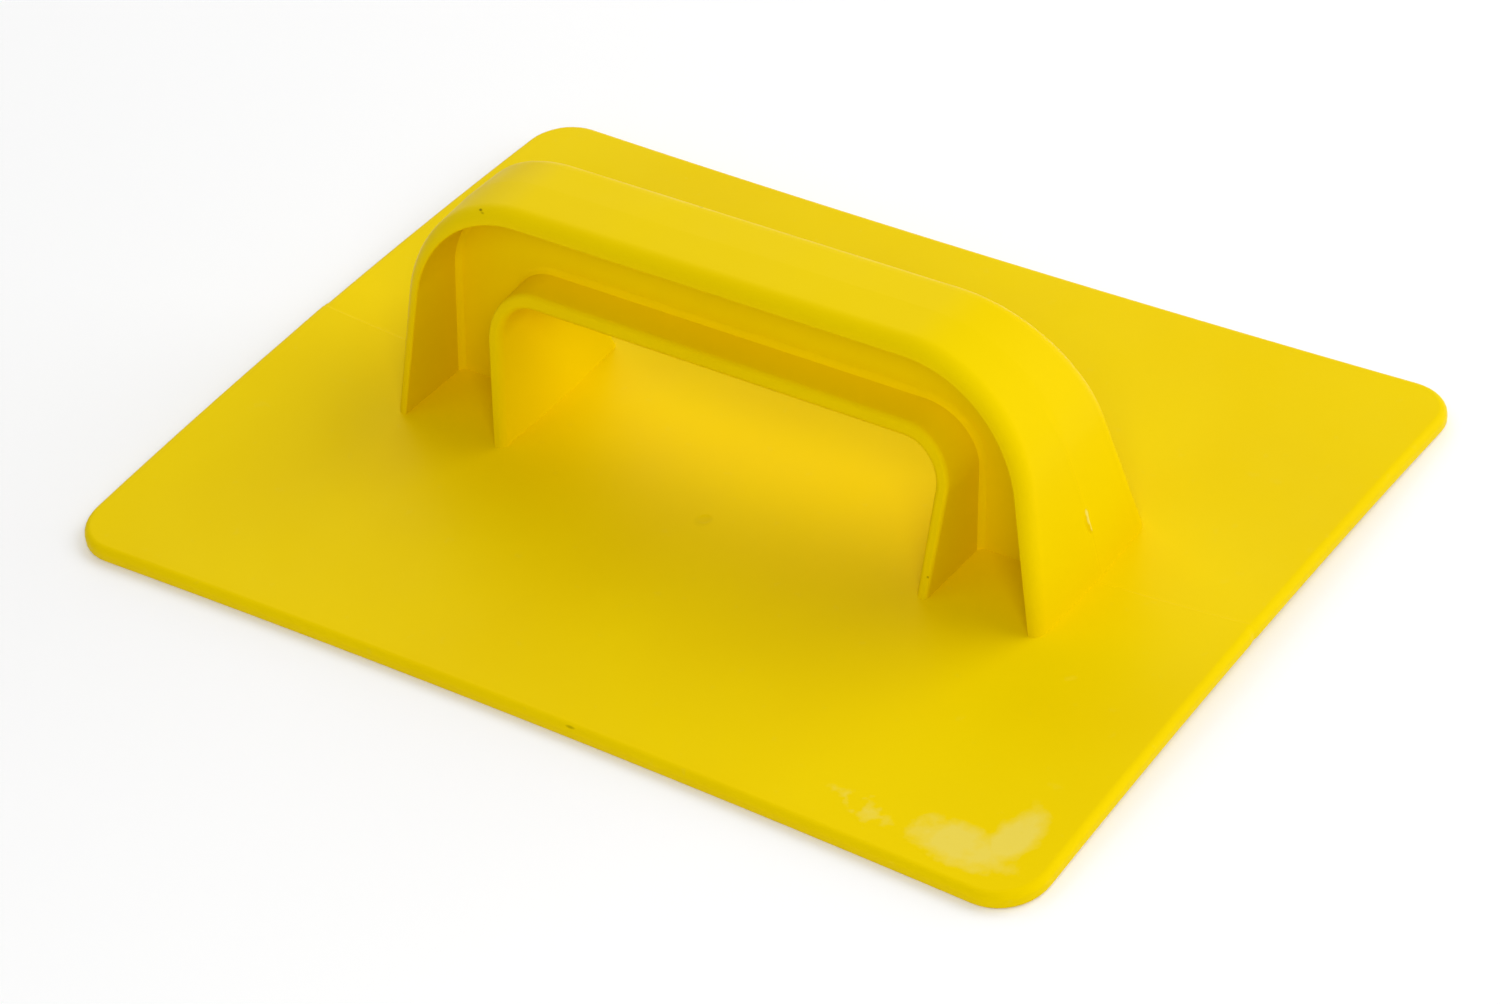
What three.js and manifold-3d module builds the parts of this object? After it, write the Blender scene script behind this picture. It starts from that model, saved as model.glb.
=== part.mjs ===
// One-piece moulded plastic hand float: a thin rectangular blade and, along its middle, a handle of
// I-shaped section that arches over a finger opening.
//
// The real float comes out of its mould whole. Its walls are kept as separate solids here: the blade, and
// the handle's outer flange, inner flange and web. They meet face to face on shared planes.
//
// Millimetres. +X along the blade, +Y across it, +Z up. The origin is the middle of the working face.

import * as THREE from "three";
import { mergeVertices } from "three/addons/utils/BufferGeometryUtils.js";
import Module from "manifold-3d";

// Blade
const BLADE_LENGTH = 280;
const BLADE_WIDTH = 208;
const BLADE_THICKNESS = 4;
const CORNER_RADIUS = 13;
const SIDE_WAIST = 2.3; // how far the middle of each long edge is drawn in
const END_LIFT = 3.2; // how far the middle of each short edge stands up from the floor
const FLAT_HALF_LENGTH = 98; // the blade is flat this far each way, under the whole handle
const LIFT_POWER = 1.4;

// Handle, seen from the side: the legs lean in from the feet to the top
const HANDLE_HEIGHT = 70;
const OUTER_FOOT_X = 97;
const OUTER_TOP_X = 87.6; // where the outer leg line would meet the top line
const OUTER_RADIUS = 36;
const OPENING_FOOT_X = 60.6;
const OPENING_TOP_X = 64.4; // where the opening's leg line would meet its ceiling
const OPENING_CEILING = 41;
const OPENING_RADIUS = 9;
const FLANGE_THICKNESS = 5;
const WEB_THICKNESS = 4;

// Handle, seen from the end: both flanges widen downwards to the same foot
const FOOT_HALF_DEPTH = 24.7;
const OUTER_TOP_HALF_DEPTH = 12.7;
const CEILING_HALF_DEPTH = 14;

// Fineness of the curved stretches
const END_STRIPS = 5;
const ACROSS_STRIPS = 12;
const SIDE_POINTS = 12;
const CORNER_POINTS = 8;
const SHOULDER_POINTS = 14;

const FLOAT_YELLOW = 0xf0d000;

const wasm = await Module();
wasm.setup();

function toSolid(geometry) {
  const bare = geometry.clone();
  bare.deleteAttribute("normal");
  bare.deleteAttribute("uv");
  const merged = mergeVertices(bare, 1e-4);
  const vertProperties = new Float32Array(merged.attributes.position.array);
  const triVerts = new Uint32Array(merged.index.array);
  return new wasm.Manifold(new wasm.Mesh({ numProp: 3, vertProperties, triVerts }));
}

function toGeometry(solid) {
  const mesh = solid.getMesh();
  const geometry = new THREE.BufferGeometry();
  geometry.setAttribute("position", new THREE.BufferAttribute(new Float32Array(mesh.vertProperties), 3));
  geometry.setIndex(new THREE.BufferAttribute(new Uint32Array(mesh.triVerts), 1));
  geometry.computeVertexNormals();
  return geometry;
}

function floatMesh(name, geometry) {
  const material = new THREE.MeshStandardMaterial({ color: FLOAT_YELLOW, roughness: 0.38, metalness: 0 });
  const mesh = new THREE.Mesh(geometry, material);
  mesh.name = name;
  return mesh;
}

// Blade ------------------------------------------------------------------------------------------------

function endLift(x, y) {
  const along = Math.max(0, Math.abs(x) - FLAT_HALF_LENGTH) / (BLADE_LENGTH / 2 - FLAT_HALF_LENGTH);
  const across = 1 - (y / (BLADE_WIDTH / 2)) ** 2;
  return END_LIFT * along ** LIFT_POWER * across;
}

// A slab a little larger than the blade, flat under the handle and raised towards the ends.
function raisedSlab() {
  const overhang = 1;
  const halfLength = BLADE_LENGTH / 2 + overhang;
  const halfWidth = BLADE_WIDTH / 2;
  const strips = 2 * END_STRIPS + 1;
  const slab = new THREE.BoxGeometry(strips, BLADE_WIDTH, BLADE_THICKNESS, strips, ACROSS_STRIPS, 1);
  const points = slab.attributes.position;
  for (let i = 0; i < points.count; i += 1) {
    const station = Math.abs(points.getX(i)) - 0.5;
    const reach = FLAT_HALF_LENGTH + (station / END_STRIPS) * (halfLength - FLAT_HALF_LENGTH);
    const x = Math.sign(points.getX(i)) * reach;
    const y = THREE.MathUtils.clamp(points.getY(i), -halfWidth, halfWidth);
    points.setXYZ(i, x, y, points.getZ(i) + BLADE_THICKNESS / 2 + endLift(x, y));
  }
  return slab;
}

// The blade's outline: rounded corners and long edges drawn in at the middle.
function bladeOutline() {
  const halfLength = BLADE_LENGTH / 2;
  const halfWidth = BLADE_WIDTH / 2;
  const r = CORNER_RADIUS;
  const shape = new THREE.Shape();
  shape.moveTo(halfLength, -halfWidth + r);
  shape.lineTo(halfLength, halfWidth - r);
  shape.absarc(halfLength - r, halfWidth - r, r, 0, Math.PI / 2);
  shape.quadraticCurveTo(0, halfWidth - 2 * SIDE_WAIST, -halfLength + r, halfWidth);
  shape.absarc(-halfLength + r, halfWidth - r, r, Math.PI / 2, Math.PI);
  shape.lineTo(-halfLength, -halfWidth + r);
  shape.absarc(-halfLength + r, -halfWidth + r, r, Math.PI, 1.5 * Math.PI);
  shape.quadraticCurveTo(0, -halfWidth + 2 * SIDE_WAIST, halfLength - r, -halfWidth);
  shape.absarc(halfLength - r, -halfWidth + r, r, 1.5 * Math.PI, 2 * Math.PI);
  return shape;
}

function bladeGeometry() {
  const depth = BLADE_THICKNESS + END_LIFT + 2;
  const prism = new THREE.ExtrudeGeometry(bladeOutline(), {
    depth,
    bevelEnabled: false,
    curveSegments: Math.max(SIDE_POINTS, CORNER_POINTS),
  });
  prism.translate(0, 0, -1);
  return toGeometry(toSolid(raisedSlab()).intersect(toSolid(prism)));
}

// Handle -----------------------------------------------------------------------------------------------

// Half of an arch in the XZ plane, from the foot up the leaning leg, round the shoulder to the top line.
// inset moves the whole line inwards (or outwards, when negative) by an even wall thickness.
function halfArch({ footX, topX, topZ, radius }, inset) {
  const foot = new THREE.Vector2(footX, BLADE_THICKNESS);
  const top = new THREE.Vector2(topX, topZ);
  const leg = top.clone().sub(foot).normalize();
  const outward = new THREE.Vector2(leg.y, -leg.x);
  const legAngle = outward.angle();
  const lineTop = topZ - inset;
  const lineFoot = foot.clone().addScaledVector(outward, -inset);
  lineFoot.addScaledVector(leg, (BLADE_THICKNESS - lineFoot.y) / leg.y);
  const lineCorner = lineFoot.clone().addScaledVector(leg, (lineTop - lineFoot.y) / leg.y);
  const r = radius - inset;
  const turn = Math.PI / 2 - (legAngle > Math.PI ? legAngle - 2 * Math.PI : legAngle);
  const centreX = lineCorner.x - r * Math.tan(turn / 2);
  const points = [lineFoot];
  for (let i = 0; i <= SHOULDER_POINTS; i += 1) {
    const angle = Math.PI / 2 - turn * (1 - i / SHOULDER_POINTS);
    points.push(new THREE.Vector2(centreX + r * Math.cos(angle), lineTop - r + r * Math.sin(angle)));
  }
  return points;
}

// The whole arch, from the +X foot over the top to the -X foot.
function arch(line, inset = 0) {
  const half = halfArch(line, inset);
  const mirrored = half.map((point) => new THREE.Vector2(-point.x, point.y)).reverse();
  return [...half, ...mirrored];
}

const OUTER_LINE = { footX: OUTER_FOOT_X, topX: OUTER_TOP_X, topZ: HANDLE_HEIGHT, radius: OUTER_RADIUS };
const OPENING_LINE = {
  footX: OPENING_FOOT_X,
  topX: OPENING_TOP_X,
  topZ: OPENING_CEILING,
  radius: OPENING_RADIUS,
};

// An even blend from the foot's half depth to another at a stated height, continued in a straight line.
function depthLine(topHalfDepth, topZ) {
  const perHeight = (topHalfDepth - FOOT_HALF_DEPTH) / (topZ - BLADE_THICKNESS);
  return (z) => FOOT_HALF_DEPTH + perHeight * (z - BLADE_THICKNESS);
}

// A wall between two arches. halfDepth(z) is its half depth across the handle at each height.
function archWall(outside, inside, halfDepth) {
  const shape = new THREE.Shape([...outside, ...[...inside].reverse()]);
  const wall = new THREE.ExtrudeGeometry(shape, { depth: 1, bevelEnabled: false });
  const points = wall.attributes.position;
  for (let i = 0; i < points.count; i += 1) {
    const z = points.getY(i);
    const side = points.getZ(i) > 0.5 ? -1 : 1;
    points.setXYZ(i, points.getX(i), side * halfDepth(z), z);
  }
  return toGeometry(toSolid(wall));
}

const outerSurface = arch(OUTER_LINE);
const outerFlangeInside = arch(OUTER_LINE, FLANGE_THICKNESS);
const innerFlangeOutside = arch(OPENING_LINE, -FLANGE_THICKNESS);
const openingSurface = arch(OPENING_LINE);

const outerDepth = depthLine(OUTER_TOP_HALF_DEPTH, HANDLE_HEIGHT);
const innerDepth = depthLine(CEILING_HALF_DEPTH, OPENING_CEILING);

// Assembly ---------------------------------------------------------------------------------------------

const handFloat = new THREE.Group();
handFloat.add(floatMesh("blade", bladeGeometry()));
handFloat.add(floatMesh("handle_outer_flange", archWall(outerSurface, outerFlangeInside, outerDepth)));
handFloat.add(floatMesh("handle_web", archWall(outerFlangeInside, innerFlangeOutside, () => WEB_THICKNESS / 2)));
handFloat.add(floatMesh("handle_inner_flange", archWall(innerFlangeOutside, openingSurface, innerDepth)));

export default handFloat;
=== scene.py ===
"""Looks of a yellow one-piece plastic hand float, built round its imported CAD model.

Every solid of the CAD model is replaced by a finer mesh in the same place, with the moulding's rounded
edges, small fillets, parting line and small flaws. Lengths are in metres, unless a comment says otherwise.
"""
import math

import bmesh
import bpy
from mathutils import Matrix, Vector


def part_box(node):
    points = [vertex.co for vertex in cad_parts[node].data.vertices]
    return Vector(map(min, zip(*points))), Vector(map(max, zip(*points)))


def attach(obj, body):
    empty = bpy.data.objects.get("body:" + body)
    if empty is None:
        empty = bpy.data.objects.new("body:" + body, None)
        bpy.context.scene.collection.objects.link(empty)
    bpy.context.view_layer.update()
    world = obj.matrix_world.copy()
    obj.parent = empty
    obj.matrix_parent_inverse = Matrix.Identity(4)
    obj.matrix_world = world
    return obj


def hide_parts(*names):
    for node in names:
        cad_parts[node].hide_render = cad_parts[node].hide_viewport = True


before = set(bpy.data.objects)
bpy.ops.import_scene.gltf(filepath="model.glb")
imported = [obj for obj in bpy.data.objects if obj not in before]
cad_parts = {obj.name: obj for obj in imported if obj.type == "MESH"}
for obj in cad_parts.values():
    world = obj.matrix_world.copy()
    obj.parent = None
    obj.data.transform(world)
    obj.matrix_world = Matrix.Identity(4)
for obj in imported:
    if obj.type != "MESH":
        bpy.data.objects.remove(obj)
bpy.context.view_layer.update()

MM = 0.001

# Sizes read from the CAD model
_, BLADE_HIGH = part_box("blade")
OUTER_LOW, OUTER_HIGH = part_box("handle_outer_flange")
_, INNER_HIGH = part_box("handle_inner_flange")
_, WEB_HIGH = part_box("handle_web")

HALF_LENGTH = BLADE_HIGH.x
HALF_WIDTH = BLADE_HIGH.y
BLADE_TOP = OUTER_LOW.z
END_LIFT = BLADE_HIGH.z - BLADE_TOP
HANDLE_TOP = OUTER_HIGH.z
FLANGE = OUTER_HIGH.z - WEB_HIGH.z
WEB_HALF = WEB_HIGH.y
FOOT_HALF_DEPTH = OUTER_HIGH.y
CEILING = INNER_HIGH.z - FLANGE

# Shape values that a box doesn't give, the same as in the CAD model
CORNER_RADIUS = 13 * MM
SIDE_WAIST = 2.3 * MM
FLAT_HALF_LENGTH = 98 * MM
LIFT_POWER = 1.4
OUTER_TOP_X = 87.6 * MM
OUTER_RADIUS = 36 * MM
OPENING_FOOT_X = 60.6 * MM
OPENING_TOP_X = 64.4 * MM
OPENING_RADIUS = 9 * MM
OUTER_TOP_HALF_DEPTH = 12.7 * MM
CEILING_HALF_DEPTH = 14 * MM

# Rounded edges and fillets of the moulding
RIM_TOP_RADIUS = 2.0 * MM
RIM_BOTTOM_RADIUS = 0.7 * MM
GRIP_EDGE_RADIUS = 3.6 * MM
GRIP_LIP_RADIUS = 0.6 * MM
OPENING_EDGE_RADIUS = 2.2 * MM
OPENING_BACK_RADIUS = 1.2 * MM
DRAFT = 0.035  # both flanges get thinner away from the mould's parting plane, by this slope on each face
FEET_SUNK = 1.0 * MM  # how far the handle's feet run into the blade
WEB_FILLET = 1.6 * MM
WEB_FILLET_TURN = math.radians(55)  # a full right angle would only graze the strap
FILLET_SUNK = (0.4 * MM, 0.15 * MM)  # how far the fillet's two outermost points lie inside the strap

# Parting line of the mould, which is a low ridge and, on the blade, also a step
PARTING_HALF_WIDTH = 0.35 * MM
PARTING_HEIGHT = 0.06 * MM
PARTING_STEP = 0.14 * MM
PARTING_STEP_HALF_WIDTH = 0.3 * MM
PARTING_STEP_FADE = (1 * MM, 18 * MM)  # the step dies away between these distances from the line
PARTING_LOW = (18 * MM, 2.0 * MM)  # (height, y) where the line on the leg's outer face starts its lean
PARTING_HIGH = (55 * MM, -2.9 * MM)
PARTING_TOP_FADE = (52 * MM, 60 * MM)

# Small marks where the mould's halves meet at the two short edges
RIM_MISMATCH = 0.3 * MM
RIM_MISMATCH_Y = (1.2 * MM, 2.0 * MM)
RIM_MISMATCH_REACH = (6 * MM, 2 * MM)  # from and to, measured in from the short edge
RIM_DENT = 0.25 * MM
RIM_DENT_Y = -1.0 * MM
RIM_DENT_SPREAD = 1.1 * MM
RIM_DENT_REACH = (3 * MM, 1 * MM)

# Shallow round mark that the gate left in the blade
GATE_CENTRE = (0.0, -24.5 * MM)
GATE_RADIUS = 1.7 * MM
GATE_DEPTH = 0.12 * MM
GATE_RING_SHARE = 0.45  # height of the raised ring, as a share of the depth
GATE_RING_SPREAD = 0.35 * MM
GATE_WALL = (-0.5 * MM, 0.3 * MM)  # where the hollow's wall begins and ends, from the gate's radius

# Torn thread of flash on the +X leg, with a hollow beside it
FLASH_HEIGHTS = (17.5 * MM, 23.5 * MM)
FLASH_TAPER = 0.6 * MM
FLASH_Y = 1.9 * MM
FLASH_STAND = 0.35 * MM
FLASH_BEND = 0.45 * MM
FLASH_BEND_TURN = 0.55 * 2 * math.pi  # the thread follows this much of a wave over its height
FLASH_SPREAD = 0.35 * MM
HOLLOW_OFFSET = 0.9 * MM
HOLLOW_SPREAD = 0.5 * MM
HOLLOW_SHARE = 0.5  # depth of the hollow, as a share of the thread's height

# Fineness of the meshes: the number of steps in each stretch
BLADE_STEPS_X = 64
BLADE_STEPS_Y = 48
CORNER_STEPS = 10
RIM_TOP_STEPS = 7
RIM_BOTTOM_STEPS = 4
GATE_STEPS = 14
GATE_FINE = 2.8 * MM  # the fine stations reach this far each way
PARTING_STEPS = 30
PARTING_FINE = 3.0 * MM
LEG_STEPS = 60
SHOULDER_STEPS = 36
GRIP_STEPS = 14
OUTER_EDGE_STEPS = 9
INNER_EDGE_STEPS = 7
FILLET_STEPS = 6

# Camera: the photograph's viewing angle
CAMERA_AZIMUTH = math.radians(39.13)
CAMERA_ELEVATION = math.radians(38.14)
CAMERA_ROLL = math.radians(-7.30)
CAMERA_DISTANCE = 1.0887
CAMERA_AIM = Vector((-0.6, -5.0, -4.4)) * MM
CAMERA_LENS_MM = 105.57

# Soft lights: name, place, side of the square, power in watts
STUDIO_LIGHTS = (
    ("key_back_right", (0.9, 0.9, 0.9), 1.6, 17.5),
    ("back_left", (-0.9, 0.9, 0.9), 1.3, 7.8),
    ("fill_by_camera", (0.75, -0.9, 1.0), 0.6, 8.5),
    ("fill_front_left", (-0.95, -0.9, 0.8), 0.9, 1.9),
)
LIGHTS_AIM = Vector((0, 0, 0.03))
WORLD_STRENGTH = 0.31
FLOOR_HALF_SIZE = 3.0
FLOOR_GREY = 0.98

# Colours
DEEP_YELLOW = (0.81, 0.580, 0.0)
LIGHT_YELLOW = (0.83, 0.612, 0.0)
# Painted light: lighter copies of the yellow for the web, standing in for light that comes through the thin
# wall
PAINTED_GLOW_DEEP = (0.90, 0.655, 0.0)
PAINTED_GLOW_LIGHT = (0.92, 0.685, 0.0)
# Painted reflection: pale colour standing in for a light's reflection in the blade's near corner
PAINTED_REFLECTION_YELLOW = (0.80, 0.64, 0.09)
# Painted highlight: the paler colour where the torn flash's lit side catches the light
FLASH_HIGHLIGHT_YELLOW = (0.92, 0.78, 0.16)
SPECK_BROWN = (0.20, 0.12, 0.0)

# Small tinted spots: centre and half sizes in millimetres, and strength
BLADE_SPECKS = (
    ((15.9, -101.1, 3.4), (1.6, 0.5, 0.4), 0.45),  # on the front rim
    ((0.0, -24.5, 4.0), (2.6, 3.0, 1.0), 0.09),  # over the gate mark
)
HANDLE_SPECKS = (
    ((-67.6, -11.9, 67.2), (0.9, 0.6, 0.35), 0.9),
    ((-66.4, -12.3, 66.9), (0.9, 0.6, 0.3), 0.4),
    ((-17.2, 11.2, 68.9), (0.9, 0.5, 0.4), 0.5),
    ((64.7, -22.9, 9.8), (0.4, 0.6, 0.4), 0.6),
)
# Painted highlight along the lit side of the torn flash on the +X leg
FLASH_HIGHLIGHT_SPOTS = (
    ((94.4, 1.5, 22.6), (1.5, 0.40, 1.5), 0.8),
    ((94.9, 1.45, 20.8), (1.5, 0.45, 1.5), 0.9),
    ((95.2, 1.9, 18.8), (1.5, 0.45, 1.6), 0.9),
)


# Mesh helpers ------------------------------------------------------------------------------------------

class MeshBuilder:
    """Collects points and faces, and joins points that fall in the same place."""

    SAME_PLACE = 1e-7
    LARGE_FACE_WEIGHT = 60  # above 50, large faces count for more in the shading

    def __init__(self):
        self.points = []
        self.index = {}
        self.faces = []

    def point(self, x, y, z):
        key = tuple(round(value / self.SAME_PLACE) for value in (x, y, z))
        if key not in self.index:
            self.index[key] = len(self.points)
            self.points.append((x, y, z))
        return self.index[key]

    def face(self, corners):
        loop = [c for i, c in enumerate(corners) if c != corners[i - 1]]
        if len(set(loop)) >= 3:
            self.faces.append(loop)

    def grid(self, rows, closed=False):
        for row, following in zip(rows, rows[1:]):
            count = len(row) if closed else len(row) - 1
            for i in range(count):
                j = (i + 1) % len(row)
                self.face([row[i], row[j], following[j], following[i]])

    def tube(self, rows):
        """A closed wall along the rows, with a flat end at each end."""
        self.grid(rows, closed=True)
        self.face(rows[0])
        self.face(rows[-1][::-1])

    def finish(self, name, node, material, move=None):
        points = [move(*p) for p in self.points] if move else self.points
        mesh = bpy.data.meshes.new(name)
        mesh.from_pydata(points, [], self.faces)
        shell = bmesh.new()
        shell.from_mesh(mesh)
        bmesh.ops.recalc_face_normals(shell, faces=shell.faces)
        shell.to_mesh(mesh)
        shell.free()
        mesh.polygons.foreach_set("use_smooth", [True] * len(mesh.polygons))
        mesh.materials.append(material)
        piece = bpy.data.objects.new(name, mesh)
        bpy.context.scene.collection.objects.link(piece)
        normals = piece.modifiers.new("flat_faces_stay_flat", "WEIGHTED_NORMAL")
        normals.weight = self.LARGE_FACE_WEIGHT
        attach(piece, "root")
        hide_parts(node)


def spaced(start, end, count):
    return [start + (end - start) * i / count for i in range(count + 1)]


def quarter(count):
    """Angles from 0 to a right angle."""
    return spaced(0.0, math.pi / 2, count)


def clamped(value):
    return min(max(value, 0.0), 1.0)


def ramp(value, start, end):
    """0 before start, 1 after end, and a smooth step between them."""
    t = clamped((value - start) / (end - start))
    return t * t * (3 - 2 * t)


def bell(value, centre, spread):
    """1 at the centre, falling smoothly to nothing over a few spreads."""
    return math.exp(-((value - centre) / spread) ** 2)


def ridge(away):
    """The parting line's sharp low ridge, at a distance from its middle."""
    return PARTING_HEIGHT * max(0.0, 1 - abs(away) / PARTING_HALF_WIDTH)


# Blade -------------------------------------------------------------------------------------------------

def end_lift(x, y):
    along = max(0.0, abs(x) - FLAT_HALF_LENGTH) / (HALF_LENGTH - FLAT_HALF_LENGTH)
    across = 1 - (y / HALF_WIDTH) ** 2
    return END_LIFT * along ** LIFT_POWER * across


def waisted(x, y):
    """The long edges are drawn in a little at their middle."""
    return y * (1 - SIDE_WAIST / HALF_WIDTH * (1 - (x / HALF_LENGTH) ** 2))


def rim_marks(x, y):
    """Where the mould's halves meet at the short edges: a small step at -X and a small dent at +X."""
    if x < 0:
        start, end = RIM_MISMATCH_REACH
        return RIM_MISMATCH * ramp(-x, HALF_LENGTH - start, HALF_LENGTH - end) * ramp(y, *RIM_MISMATCH_Y)
    start, end = RIM_DENT_REACH
    near = bell(y, RIM_DENT_Y, RIM_DENT_SPREAD)
    return -RIM_DENT * ramp(x, HALF_LENGTH - start, HALF_LENGTH - end) * near


def blade_parting_mark(x, y):
    """The parting line on the upper face, from each foot to the short edge."""
    reach = ramp(abs(x), OUTER_HIGH.x - 2 * MM, OUTER_HIGH.x + 3 * MM)
    fade = 1 - ramp(abs(y), *PARTING_STEP_FADE)
    step = PARTING_STEP * ramp(-y, -PARTING_STEP_HALF_WIDTH, PARTING_STEP_HALF_WIDTH) * fade
    return reach * (ridge(y) + step)


def gate_mark(x, y):
    """The shallow round witness that the gate left."""
    away = math.hypot(x - GATE_CENTRE[0], y - GATE_CENTRE[1])
    ring = bell(away, GATE_RADIUS, GATE_RING_SPREAD)
    inside = 1 - ramp(away, GATE_RADIUS + GATE_WALL[0], GATE_RADIUS + GATE_WALL[1])
    return GATE_DEPTH * (GATE_RING_SHARE * ring - inside)


def with_fine(stations, centre, spread, count):
    """Adds fine stations round a small feature."""
    kept = [s for s in stations if abs(s - centre) > spread]
    return sorted(kept + spaced(centre - spread, centre + spread, count))


def blade_stations(core_x, core_y):
    """Stations along and across the blade's core, finer at the gate mark and the parting line."""
    xs = with_fine(spaced(-core_x, core_x, BLADE_STEPS_X), GATE_CENTRE[0], GATE_FINE, GATE_STEPS)
    ys = with_fine(spaced(-core_y, core_y, BLADE_STEPS_Y), 0.0, PARTING_FINE, PARTING_STEPS)
    ys = with_fine(ys, GATE_CENTRE[1], GATE_FINE, GATE_STEPS)
    return xs, ys


def rim_section():
    """The rim as (inset from the outline, height), from the upper face round to the working face."""
    section = [(CORNER_RADIUS * share, BLADE_TOP) for share in (1.0, 0.75, 0.5, 0.3)]
    for angle in quarter(RIM_TOP_STEPS):
        inset = RIM_TOP_RADIUS * (1 - math.sin(angle))
        section.append((inset, BLADE_TOP - RIM_TOP_RADIUS * (1 - math.cos(angle))))
    for angle in quarter(RIM_BOTTOM_STEPS):
        inset = RIM_BOTTOM_RADIUS * (1 - math.cos(angle))
        section.append((inset, RIM_BOTTOM_RADIUS * (1 - math.sin(angle))))
    return section + [(CORNER_RADIUS * share, 0.0) for share in (0.3, 1.0)]


def outline_loop(core_x, core_y, xs, ys, reach):
    """Once round the blade, as four straight sides that each end in a rounded corner."""
    sides = (
        ([(core_x + reach, y) for y in ys], (core_x, core_y)),
        ([(x, core_y + reach) for x in xs[::-1]], (-core_x, core_y)),
        ([(-core_x - reach, y) for y in ys[::-1]], (-core_x, -core_y)),
        ([(x, -core_y - reach) for x in xs], (core_x, -core_y)),
    )
    loop = []
    for quadrant, (side, (centre_x, centre_y)) in enumerate(sides):
        loop += side
        for angle in quarter(CORNER_STEPS)[1:-1]:
            turned = quadrant * math.pi / 2 + angle
            loop.append((centre_x + reach * math.cos(turned), centre_y + reach * math.sin(turned)))
    return loop


def build_blade(material):
    core_x = HALF_LENGTH - CORNER_RADIUS
    core_y = HALF_WIDTH - CORNER_RADIUS
    xs, ys = blade_stations(core_x, core_y)
    builder = MeshBuilder()
    rows = []
    for inset, height in rim_section():
        loop = outline_loop(core_x, core_y, xs, ys, CORNER_RADIUS - inset)
        rows.append([builder.point(x, y, height) for x, y in loop])
    builder.grid(rows, closed=True)
    for height in (BLADE_TOP, 0.0):
        builder.grid([[builder.point(x, y, height) for x in xs] for y in ys])

    def move(x, y, z):
        upper = ramp(z, RIM_BOTTOM_RADIUS, BLADE_TOP - RIM_TOP_RADIUS)
        marks = (blade_parting_mark(x, y) + gate_mark(x, y)) * upper
        return x + rim_marks(x, y), waisted(x, y), z + end_lift(x, y) + marks

    builder.finish("blade_moulded", "blade", material, move)


# Handle ------------------------------------------------------------------------------------------------

def arch_line(foot_x, top_x, top_z, radius, inset=0.0):
    """Points and outward normals along an arch, from just under the +X foot over the top to the -X foot."""
    foot = Vector((foot_x, BLADE_TOP))
    leg = (Vector((top_x, top_z)) - foot).normalized()
    outward = Vector((leg.y, -leg.x))
    turn = math.pi / 2 - math.atan2(outward.y, outward.x)
    corner = foot + leg * ((top_z - foot.y) / leg.y)
    centre = Vector((corner.x - radius * math.tan(turn / 2), top_z - radius))
    arc_start = centre + outward * radius
    low = foot - leg * (FEET_SUNK / leg.y)
    straight = (arc_start - low).length
    line = [(low + leg * along, outward) for along in spaced(0.0, straight, LEG_STEPS)]
    for angle in spaced(math.pi / 2 - turn, math.pi / 2, SHOULDER_STEPS)[1:]:
        normal = Vector((math.cos(angle), math.sin(angle)))
        line.append((centre + normal * radius, normal))
    line += [(Vector((x, top_z)), Vector((0, 1))) for x in spaced(centre.x, 0.0, GRIP_STEPS)[1:]]
    line = [(point - normal * inset, normal) for point, normal in line]
    mirrored = [(Vector((-p.x, p.y)), Vector((-n.x, n.y))) for p, n in line[:-1]]
    return line + mirrored[::-1]


def depth_at(z, top_half_depth, top_z):
    """Half the depth of a strap at a height: both straps widen evenly down to the same foot."""
    share = (z - BLADE_TOP) / (top_z - BLADE_TOP)
    return FOOT_HALF_DEPTH + (top_half_depth - FOOT_HALF_DEPTH) * share


def strap_section(outer_radius, inner_radius):
    """The strap's section as (depth below the outer face, share of the half depth, inset from the side)."""
    shares = spaced(0.0, 0.2, 20) + spaced(0.3, 0.9, 4)  # fine in the middle, for the parting line
    half = [(0.0, share, outer_radius) for share in shares]
    for angle in quarter(OUTER_EDGE_STEPS):
        half.append((outer_radius * (1 - math.cos(angle)), 1.0, outer_radius * (1 - math.sin(angle))))
    for angle in quarter(INNER_EDGE_STEPS)[::-1]:
        depth = FLANGE - inner_radius * (1 - math.cos(angle))
        half.append((depth, 1.0, inner_radius * (1 - math.sin(angle))))
    half += [(FLANGE, share, inner_radius) for share in (0.8, 0.5, 0.2)]
    front = [(depth, -share, inset) for depth, share, inset in half]
    back = [(depth, share, inset) for depth, share, inset in half[1:][::-1]]
    return front + back


def build_strap(name, node, line, section, half_depth, material, outer_mark=None):
    builder = MeshBuilder()
    rows = []
    for point, normal in line:
        row = []
        for depth, share, inset in section:
            z = point.y - normal.y * depth
            y = share * (half_depth(z) - inset)
            below = depth + DRAFT * abs(y) * (1 - 2 * depth / FLANGE)
            if outer_mark and depth == 0.0:
                below -= outer_mark(point.x, y, z)
            place = point - normal * below
            row.append(builder.point(place.x, y, place.y))
        rows.append(row)
    builder.tube(rows)
    builder.finish(name, node, material)


def torn_flash(y, z):
    """The thread of flash and its hollow, as a height off the leg's outer face."""
    start, end = FLASH_HEIGHTS
    window = ramp(z, start - FLASH_TAPER, start) * (1 - ramp(z, end, end + FLASH_TAPER))
    thread_y = FLASH_Y - FLASH_BEND * math.sin(FLASH_BEND_TURN * (z - start) / (end - start))
    thread = bell(y, thread_y, FLASH_SPREAD)
    hollow = bell(y, thread_y - HOLLOW_OFFSET, HOLLOW_SPREAD)
    return FLASH_STAND * window * (thread - HOLLOW_SHARE * hollow)


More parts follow.
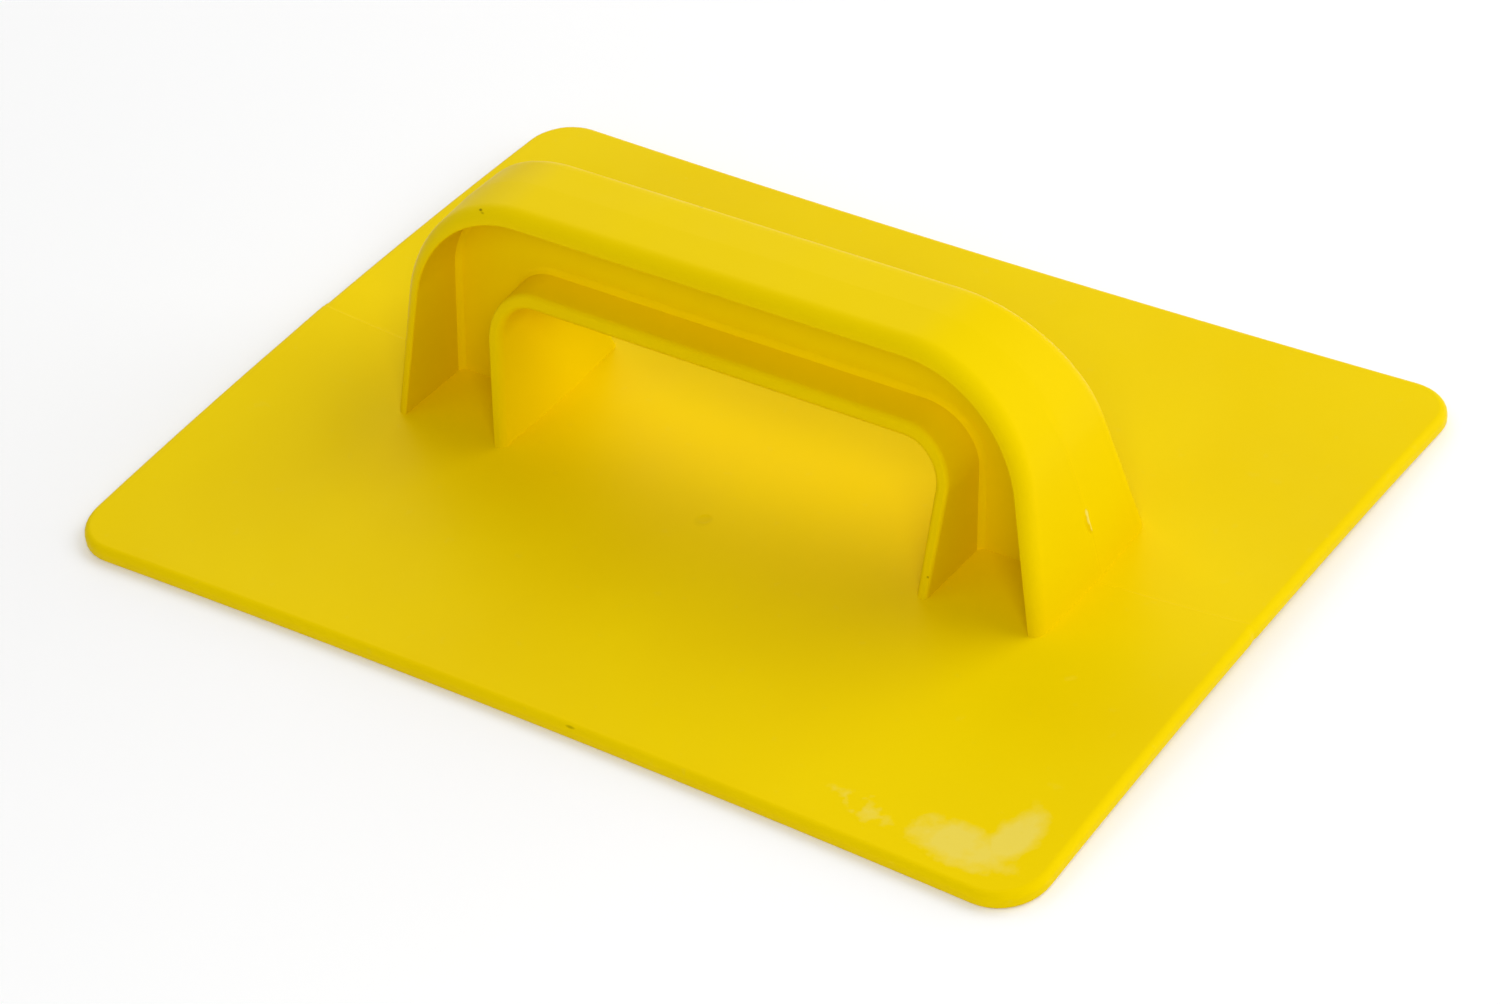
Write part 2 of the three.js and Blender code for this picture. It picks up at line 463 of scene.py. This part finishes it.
def leg_mark(x, y, z):
    """The leaning parting line up each leg and, low on the +X leg, the torn flash."""
    (low, y_low), (high, y_high) = PARTING_LOW, PARTING_HIGH
    line_y = y_low + (y_high - y_low) * clamped((z - low) / (high - low))
    mark = ridge(y - line_y) * (1 - ramp(z, *PARTING_TOP_FADE))
    return mark + torn_flash(y, z) if x > 0 else mark


def fillet_steps():
    """Steps of (distance from a strap, half the web's thickness), from inside the strap outwards."""
    steps = []
    for turn in spaced(WEB_FILLET_TURN, 0.0, FILLET_STEPS):
        steps.append((WEB_FILLET * (1 - math.sin(turn)), WEB_HALF + WEB_FILLET * (1 - math.cos(turn))))
    distance, half = steps[0]
    slope = math.tan(WEB_FILLET_TURN)
    return [(-sunk, half + (distance + sunk) * slope) for sunk in FILLET_SUNK] + steps


def build_web(outer_line, inner_line, material):
    """The upright wall, with a small fillet where it meets each strap."""
    builder = MeshBuilder()
    steps = fillet_steps()
    rows = []
    for (outer, outer_normal), (inner, inner_normal) in zip(outer_line, inner_line):
        places = [(outer - outer_normal * (FLANGE + distance), half) for distance, half in steps]
        places += [(inner + inner_normal * distance, half) for distance, half in steps[::-1]]
        near = [builder.point(place.x, -half, place.y) for place, half in places]
        far = [builder.point(place.x, half, place.y) for place, half in places]
        rows.append(near + far[::-1])
    builder.tube(rows)
    builder.finish("handle_web_moulded", "handle_web", material)


def build_handle(material, web_material):
    outer_line = arch_line(OUTER_HIGH.x, OUTER_TOP_X, HANDLE_TOP, OUTER_RADIUS)
    inner_line = arch_line(OPENING_FOOT_X, OPENING_TOP_X, CEILING, OPENING_RADIUS, -FLANGE)
    build_strap("grip_strap_moulded", "handle_outer_flange", outer_line,
                strap_section(GRIP_EDGE_RADIUS, GRIP_LIP_RADIUS),
                lambda z: depth_at(z, OUTER_TOP_HALF_DEPTH, HANDLE_TOP), material, leg_mark)
    build_strap("opening_strap_moulded", "handle_inner_flange", inner_line,
                strap_section(OPENING_BACK_RADIUS, OPENING_EDGE_RADIUS),
                lambda z: depth_at(z, CEILING_HALF_DEPTH, CEILING), material)
    build_web(outer_line, inner_line, web_material)


# Materials ---------------------------------------------------------------------------------------------

class PlasticRecipe:
    """The yellow moulded plastic, with short names for the nodes that vary it."""

    MIX_A, MIX_B, MIX_RESULT = 6, 7, 2  # the Mix node's colour sockets, which share their names with others

    def __init__(self, name, deep=DEEP_YELLOW, light=LIGHT_YELLOW):
        self.material = bpy.data.materials.new(name)
        self.material.use_nodes = True
        self.nodes = self.material.node_tree.nodes
        self.links = self.material.node_tree.links
        self.shader = self.nodes["Principled BSDF"]
        self.place = self.nodes.new("ShaderNodeTexCoord").outputs["Object"]
        patches = self.noise(scale=14, detail=3, low=0.35, high=0.65)
        self.colour = self.blend(patches, deep, light)
        self.roughness = self.noise(scale=60, detail=4, low=0.3, high=0.7, to_low=0.38, to_high=0.48)
        self.add_grain()
        self.shader.inputs["IOR"].default_value = 1.49
        self.shader.inputs["Specular IOR Level"].default_value = 0.035
        self.shader.inputs["Specular Tint"].default_value = (1.0, 0.8, 0.02, 1)

    def remap(self, source, low, high, to_low=0.0, to_high=1.0):
        node = self.nodes.new("ShaderNodeMapRange")
        node.inputs["From Min"].default_value = low
        node.inputs["From Max"].default_value = high
        node.inputs["To Min"].default_value = to_low
        node.inputs["To Max"].default_value = to_high
        self.links.new(source, node.inputs["Value"])
        return node.outputs["Result"]

    def noise(self, scale, detail, low=0.0, high=1.0, to_low=0.0, to_high=1.0):
        node = self.nodes.new("ShaderNodeTexNoise")
        node.inputs["Scale"].default_value = scale
        node.inputs["Detail"].default_value = detail
        self.links.new(self.place, node.inputs["Vector"])
        return self.remap(node.outputs["Fac"], low, high, to_low, to_high)

    def maths(self, operation, first, second):
        node = self.nodes.new("ShaderNodeMath")
        node.operation = operation
        for source, socket in zip((first, second), node.inputs):
            if isinstance(source, float):
                socket.default_value = source
            else:
                self.links.new(source, socket)
        return node.outputs["Value"]

    def blend(self, share, first, second):
        node = self.nodes.new("ShaderNodeMix")
        node.data_type = "RGBA"
        self.links.new(share, node.inputs["Factor"])
        for colour, socket in ((first, self.MIX_A), (second, self.MIX_B)):
            if isinstance(colour, tuple):
                node.inputs[socket].default_value = (*colour, 1)
            else:
                self.links.new(colour, node.inputs[socket])
        return node.outputs[self.MIX_RESULT]

    def spot(self, centre, half_sizes, turn=0.0, core=0.4):
        """1 in the core of an ellipsoid, 0 beyond its surface. Sizes in millimetres, turn in degrees."""
        node = self.nodes.new("ShaderNodeMapping")
        node.vector_type = "TEXTURE"
        node.inputs["Location"].default_value = Vector(centre) * MM
        node.inputs["Rotation"].default_value = (0, 0, math.radians(turn))
        node.inputs["Scale"].default_value = Vector(half_sizes) * MM
        self.links.new(self.place, node.inputs["Vector"])
        length = self.nodes.new("ShaderNodeVectorMath")
        length.operation = "LENGTH"
        self.links.new(node.outputs["Vector"], length.inputs[0])
        return self.remap(length.outputs["Value"], 1.0, core)

    def add_grain(self):
        bump = self.nodes.new("ShaderNodeBump")
        bump.inputs["Strength"].default_value = 0.25
        bump.inputs["Distance"].default_value = 0.05 * MM
        self.links.new(self.noise(scale=900, detail=2), bump.inputs["Height"])
        self.links.new(bump.outputs["Normal"], self.shader.inputs["Normal"])

    def add_spots(self, colour, spots):
        for centre, half_sizes, strength in spots:
            share = self.maths("MULTIPLY", self.spot(centre, half_sizes), strength)
            self.colour = self.blend(share, self.colour, colour)

    def add_painted_reflection(self, shape):
        """Painted reflection: a pale patch with a ragged edge that stands in for a light's reflection, also
        a little glossier than the rest.
        """
        edge = self.noise(scale=260, detail=6, low=0.3, high=0.7, to_low=-0.35, to_high=0.15)
        reflection_share = self.remap(self.maths("ADD", shape, edge), 0.10, 0.85, 0.0, 0.9)
        self.colour = self.blend(reflection_share, self.colour, PAINTED_REFLECTION_YELLOW)
        self.roughness = self.maths("SUBTRACT", self.roughness, self.maths("MULTIPLY", reflection_share, 0.08))

    def finished(self):
        self.links.new(self.colour, self.shader.inputs["Base Color"])
        self.links.new(self.roughness, self.shader.inputs["Roughness"])
        return self.material


def blade_plastic():
    """The plastic with a painted reflection in the near corner, a speck on the front rim and the gate's
    tint.
    """
    recipe = PlasticRecipe("yellow_plastic_blade")
    # Shape of the painted reflection: three overlapping spots, the trail broken up by noise
    reflection_band = recipe.spot((117.5, -92, 4), (17, 8, 40), turn=-3.0)
    reflection_hook = recipe.spot((127, -85.5, 4), (7, 13.5, 40), turn=-12.0)
    reflection_trail = recipe.spot((91, -91.5, 4), (16, 5, 40), turn=-12.0, core=0.2)
    reflection_breakup = recipe.noise(scale=230, detail=3, low=0.40, high=0.62, to_low=0.0, to_high=0.62)
    reflection_trail = recipe.maths("MULTIPLY", reflection_trail, reflection_breakup)
    recipe.add_painted_reflection(recipe.maths("MAXIMUM", recipe.maths("MAXIMUM", reflection_band, reflection_hook), reflection_trail))
    recipe.add_spots(SPECK_BROWN, BLADE_SPECKS)
    return recipe.finished()


def handle_plastic():
    """The plastic with small dark specks on the handle's edges and a painted highlight along the torn flash
    on the +X leg.
    """
    recipe = PlasticRecipe("yellow_plastic_handle")
    recipe.add_spots(SPECK_BROWN, HANDLE_SPECKS)
    # Painted highlight on the torn flash
    recipe.add_spots(FLASH_HIGHLIGHT_YELLOW, FLASH_HIGHLIGHT_SPOTS)
    return recipe.finished()


def web_plastic_painted_glow():
    """The plastic of the web, painted lighter: painted light that stands in for light coming through the
    thin wall.
    """
    return PlasticRecipe("yellow_plastic_web_painted_glow", PAINTED_GLOW_DEEP, PAINTED_GLOW_LIGHT).finished()


# Studio ------------------------------------------------------------------------------------------------

def add_floor():
    half = FLOOR_HALF_SIZE
    corners = [(-half, -half, 0), (half, -half, 0), (half, half, 0), (-half, half, 0)]
    mesh = bpy.data.meshes.new("floor")
    mesh.from_pydata(corners, [], [(0, 1, 2, 3)])
    floor = bpy.data.objects.new("floor", mesh)
    bpy.context.scene.collection.objects.link(floor)
    material = bpy.data.materials.new("pale_floor")
    material.use_nodes = True
    shader = material.node_tree.nodes["Principled BSDF"]
    shader.inputs["Base Color"].default_value = (FLOOR_GREY, FLOOR_GREY, FLOOR_GREY, 1)
    shader.inputs["Roughness"].default_value = 1.0
    shader.inputs["Specular IOR Level"].default_value = 0.0
    mesh.materials.append(material)


def add_area(name, location, size, watts):
    data = bpy.data.lights.new(name, "AREA")
    data.shape = "SQUARE"
    data.size = size
    data.energy = watts
    light = bpy.data.objects.new(name, data)
    light.location = location
    aim = LIGHTS_AIM - Vector(location)
    light.rotation_euler = aim.to_track_quat("-Z", "Y").to_euler()
    bpy.context.scene.collection.objects.link(light)


def add_world():
    world = bpy.data.worlds.new("studio_tent")
    world.use_nodes = True
    background = world.node_tree.nodes["Background"]
    background.inputs["Color"].default_value = (1, 1, 1, 1)
    background.inputs["Strength"].default_value = WORLD_STRENGTH
    bpy.context.scene.world = world


def add_camera():
    azimuth, elevation = CAMERA_AZIMUTH, CAMERA_ELEVATION
    level = Vector((math.cos(azimuth), math.sin(azimuth), 0))
    towards = Vector((math.sin(azimuth), -math.cos(azimuth), 0))
    back = towards * math.cos(elevation) + Vector((0, 0, math.sin(elevation)))
    upright = back.cross(level)
    right = level * math.cos(CAMERA_ROLL) + upright * math.sin(CAMERA_ROLL)
    up = back.cross(right)
    data = bpy.data.cameras.new("photo_angle")
    data.lens = CAMERA_LENS_MM
    data.sensor_width = 36
    data.clip_end = 20
    camera = bpy.data.objects.new("photo_angle", data)
    axes = Matrix((right, up, back)).transposed().to_4x4()
    camera.matrix_world = Matrix.Translation(CAMERA_AIM + back * CAMERA_DISTANCE) @ axes
    bpy.context.scene.collection.objects.link(camera)
    bpy.context.scene.camera = camera


# Scene -------------------------------------------------------------------------------------------------

add_camera()
add_world()
for name, location, size, watts in STUDIO_LIGHTS:
    add_area(name, location, size, watts)
add_floor()
build_blade(blade_plastic())
build_handle(handle_plastic(), web_plastic_painted_glow())

bpy.context.scene.view_settings.view_transform = "Standard"
